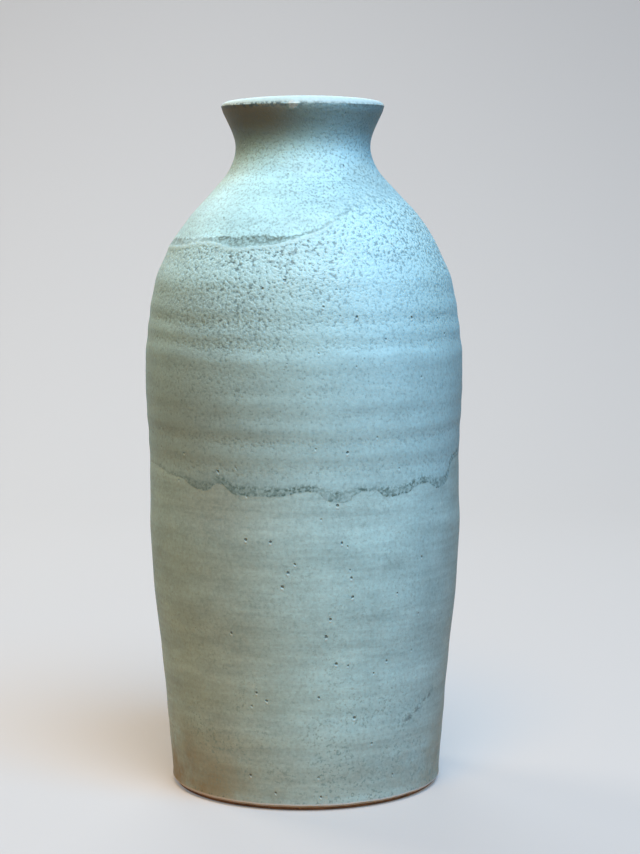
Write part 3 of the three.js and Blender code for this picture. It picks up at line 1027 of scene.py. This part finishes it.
def makeUpperCoat(look):
    mouthLine = innerDistance(mouthTop - dipEdges["mouthDepth"])
    distances = {"Mouth Line": mouthLine, "Lip Arris": float(travelled[runEnds[2] - 1])}
    inputs = treeInputs(look, upperMaterial, distances)
    tree = ThrownTree("secondDip", inputs)
    waist = tree.edge(dipEdges["waist"], tree.given("Ragged"))
    shoulder = tree.edge(dipEdges["shoulder"], tree.given("Ragged"))
    arris = tree.given("Lip Arris")
    mouth = tree.given("Mouth Line")
    share = tree.given("Rows To Arris")
    overLip = tree.clamp((tree.along - share) / (1 - share))
    distance = tree.spreadRows(waist, shoulder, arris, share) + (mouth - arris) * overLip
    aboveWaist = distance - waist
    aboveShoulder = distance - shoulder
    melted = tree.roundPot(tree.angle, dipEdges["melted"])
    # the bond steps down off the first dip at once, the face slowly where that dip's edge has melted away
    overLower = tree.given("Bond Over Lower")
    down = tree.given("Bond Over Clay") - overLower
    start = tree.given("Ridge Start")
    bond = overLower + down * tree.fade(aboveShoulder, start, tree.given("Ridge Drop"))
    slowDrop = tree.given("Ridge Drop") + melted * tree.given("Melted Drop")
    face = overLower + down * tree.fade(aboveShoulder, start, slowDrop)
    # thin at the waist and over the lip's arris, raised along the ridge and in the drip
    thicker = tree.fade(aboveWaist, 0.0, tree.given("Thin Reach"))
    full = tree.given("Edge Depth") + (tree.given("Depth") - tree.given("Edge Depth")) * thicker
    fromArris = tree.calc("ABSOLUTE", distance - arris)
    thin = tree.fade(fromArris, tree.given("Arris Reach"), 0.0) * tree.given("Thin At Arris")
    ridge = tree.between(aboveShoulder, look["ridgeRises"]) * (1 - melted)
    drip = dripMask(tree, look, distance)
    raised = ridge * tree.given("Ridge") + drip * tree.given("Drip")
    depth = (full * (1 - thin) + raised) * tree.rolled(aboveWaist, mouth - distance)
    tree.store(
        drip=drip, melted=melted, ring=tree.ring(distance),
        aboveWaist=aboveWaist, aboveShoulder=aboveShoulder, aboveArris=distance - arris,
        waistBand=tree.band(dipEdges["waist"]), shoulderBand=tree.band(dipEdges["shoulder"]))
    lift = bond * (1 - tree.onFace) + (face + depth) * tree.onFace
    return throwPiece("upper_glaze", tree.finish(distance, lift), inputs, "upper_glaze_coat")


# Poured coat: from under the second dip's edge in the mouth to the middle of the floor
linerCoat = {
    "rows": {"Columns": 192, "Face Rows": 130, "Bond Rows": 64, "Rows Below": 0.8, "Gather": 1.0},
    "sizes": {"Bond": 0.1, "Face": 0.7, "Edge": 0.6},
    "underMouth": 0.3,
}


def makeLiner(look):
    mouthLine = innerDistance(mouthTop - dipEdges["mouthDepth"] - look["underMouth"])
    corner = float(travelled[runEnds[5] - 1])
    distances = {"Mouth Line": mouthLine, "Floor Corner": corner, "Length": wholeLength}
    inputs = treeInputs(look, linerMaterial, distances)
    tree = ThrownTree("pouredLiner", inputs)
    mouth = tree.given("Mouth Line")
    length = tree.given("Length")
    distance = tree.spreadRows(mouth, tree.given("Floor Corner"), length)
    depth = (tree.given("Face") - tree.given("Bond")) * tree.rolled(distance - mouth, length - distance)
    tree.store(ring=tree.ring(distance))
    lift = tree.given("Bond") + depth * tree.onFace
    return throwPiece("liner_glaze", tree.finish(distance, lift), inputs, "liner_glaze_coat")


makeBody(clayBody)
makeLowerCoat(lowerCoat)
makeUpperCoat(upperCoat)
makeLiner(linerCoat)
bpy.data.objects.remove(wallLine)


# Studio: a pale sweep, two tinted soft lamps high in front and two weak ones behind
studio = {
    "colour": (0.36, 0.36, 0.355, 1),  # of the sweep
    "glow": (0.17, 0.17, 0.17, 1),  # as the camera sees it, so that tinted shadows stay pale
    "nearBounce": (0.42, 0.22, 0.1, 1),  # light thrown back up at the pot is warm near it
    "farBounce": (0.03, 0.022, 0.016, 1),
    "bounceReach": 0.45,
    "roughness": 0.9,
    "floorReach": 1.6,
    "sweepStart": 0.75,
    "sweepRadius": 0.5,
    "sweepHeight": 1.6,
    "sweepSteps": 16,
    "worldColour": (0.52, 0.52, 0.53, 1),
    "worldLight": (0.009, 0.0095, 0.01, 1),
    "lampTarget": (0, 0, 0.17),
    "lamps": [  # name, degrees round from the front, degrees up, metres away, size, watts, colour
        ("warmFront", 3, 59, 2.0, 1.3, 51.0, (1.0, 0.53, 0.06)),
        ("coolFront", 28, 59, 2.0, 1.3, 62.0, (0.05, 0.5, 1.0)),
        ("backLeft", -130, 38, 1.6, 0.6, 9.5, (1.0, 0.86, 0.7)),
        ("behind", 186, 36, 1.25, 0.7, 6.0, (0.9, 0.96, 1.0)),
    ],
}


def seenRays(board):
    # rays that show the studio rather than light the pot by it
    path = board.add("ShaderNodeLightPath")
    camera, glossy, through = (
        Wire(board, path.outputs[name]) for name in ("Is Camera Ray", "Is Glossy Ray", "Is Transmission Ray"))
    return board.calc("MAXIMUM", board.calc("MAXIMUM", camera, glossy), through)


def makeSweep(look):
    # one sheet that lies under the pot and curves up behind it
    width = look["floorReach"]
    start = look["sweepStart"]
    radius = look["sweepRadius"]
    bend = arcLine((start, radius), radius, -math.pi / 2, 0, look["sweepSteps"])
    profile = [(-width, 0), *bend, (start + radius, look["sweepHeight"])]
    points = [(side * width, y, z) for y, z in profile for side in (-1, 1)]
    faces = [(2 * i, 2 * i + 1, 2 * i + 3, 2 * i + 2) for i in range(len(profile) - 1)]
    mesh = bpy.data.meshes.new("sweep")
    mesh.from_pydata(points, [], faces)
    mesh.shade_smooth()
    sweep = putInScene("sweep", mesh)
    board = Finish("paleSweep", look)
    seen = seenRays(board)
    length = board.wire("ShaderNodeVectorMath", {0: board.place}, "Value", operation="LENGTH")
    near = board.fade(length, look["bounceReach"], look["bounceReach"] / 2)
    bounce = board.mix(near, look["farBounce"], look["nearBounce"])
    board.shader.inputs["Emission Color"].default_value = look["glow"]
    board.feed(board.shader.inputs["Emission Strength"], seen)
    board.colour = board.mix(seen, bounce, look["colour"])
    mesh.materials.append(board.done(look["roughness"]))


def makeLamps(look):
    for name, turn, up, away, size, watts, colour in look["lamps"]:
        light = bpy.data.lights.new(name, "AREA")
        light.shape = "DISK"
        light.size = size
        light.energy = watts
        light.color = colour
        lamp = putInScene(name, light)
        turn, up = math.radians(turn), math.radians(up)
        towards = Vector((math.sin(turn) * math.cos(up), -math.cos(turn) * math.cos(up), math.sin(up)))
        lamp.location = Vector(look["lampTarget"]) + towards * away
        lamp.rotation_euler = (-towards).to_track_quat("-Z", "Y").to_euler()


def makeWorld(look):
    world = bpy.data.worlds.new("studio")
    world.use_nodes = True
    board = Board(world.node_tree)
    colour = board.mix(seenRays(board), look["worldLight"], look["worldColour"])
    board.feed(world.node_tree.nodes["Background"].inputs["Color"], colour)
    scene.world = world


# Camera: a long lens a little over the middle, looking slightly down
viewpoint = {
    "place": (0, -0.9008, 0.2407),
    "focalPixels": 2200,
    "longSidePixels": 854,
    "sensor": 36,
    "pitch": 5.97,
    "yaw": 0.41,
    "roll": -0.24,
}


def makeCamera(look):
    data = bpy.data.cameras.new("camera")
    data.sensor_width = look["sensor"]
    data.lens = look["focalPixels"] * look["sensor"] / look["longSidePixels"]
    camera = putInScene("camera", data)
    turn = Matrix.Rotation(math.radians(-look["yaw"]), 4, "Z")
    tilt = Matrix.Rotation(math.radians(90 - look["pitch"]), 4, "X")
    roll = Matrix.Rotation(math.radians(look["roll"]), 4, "Z")
    camera.matrix_world = Matrix.Translation(look["place"]) @ turn @ tilt @ roll
    scene.camera = camera


makeSweep(studio)
makeLamps(studio)
makeWorld(studio)
makeCamera(viewpoint)
scene.view_settings.view_transform = "Standard"
print("studio set")
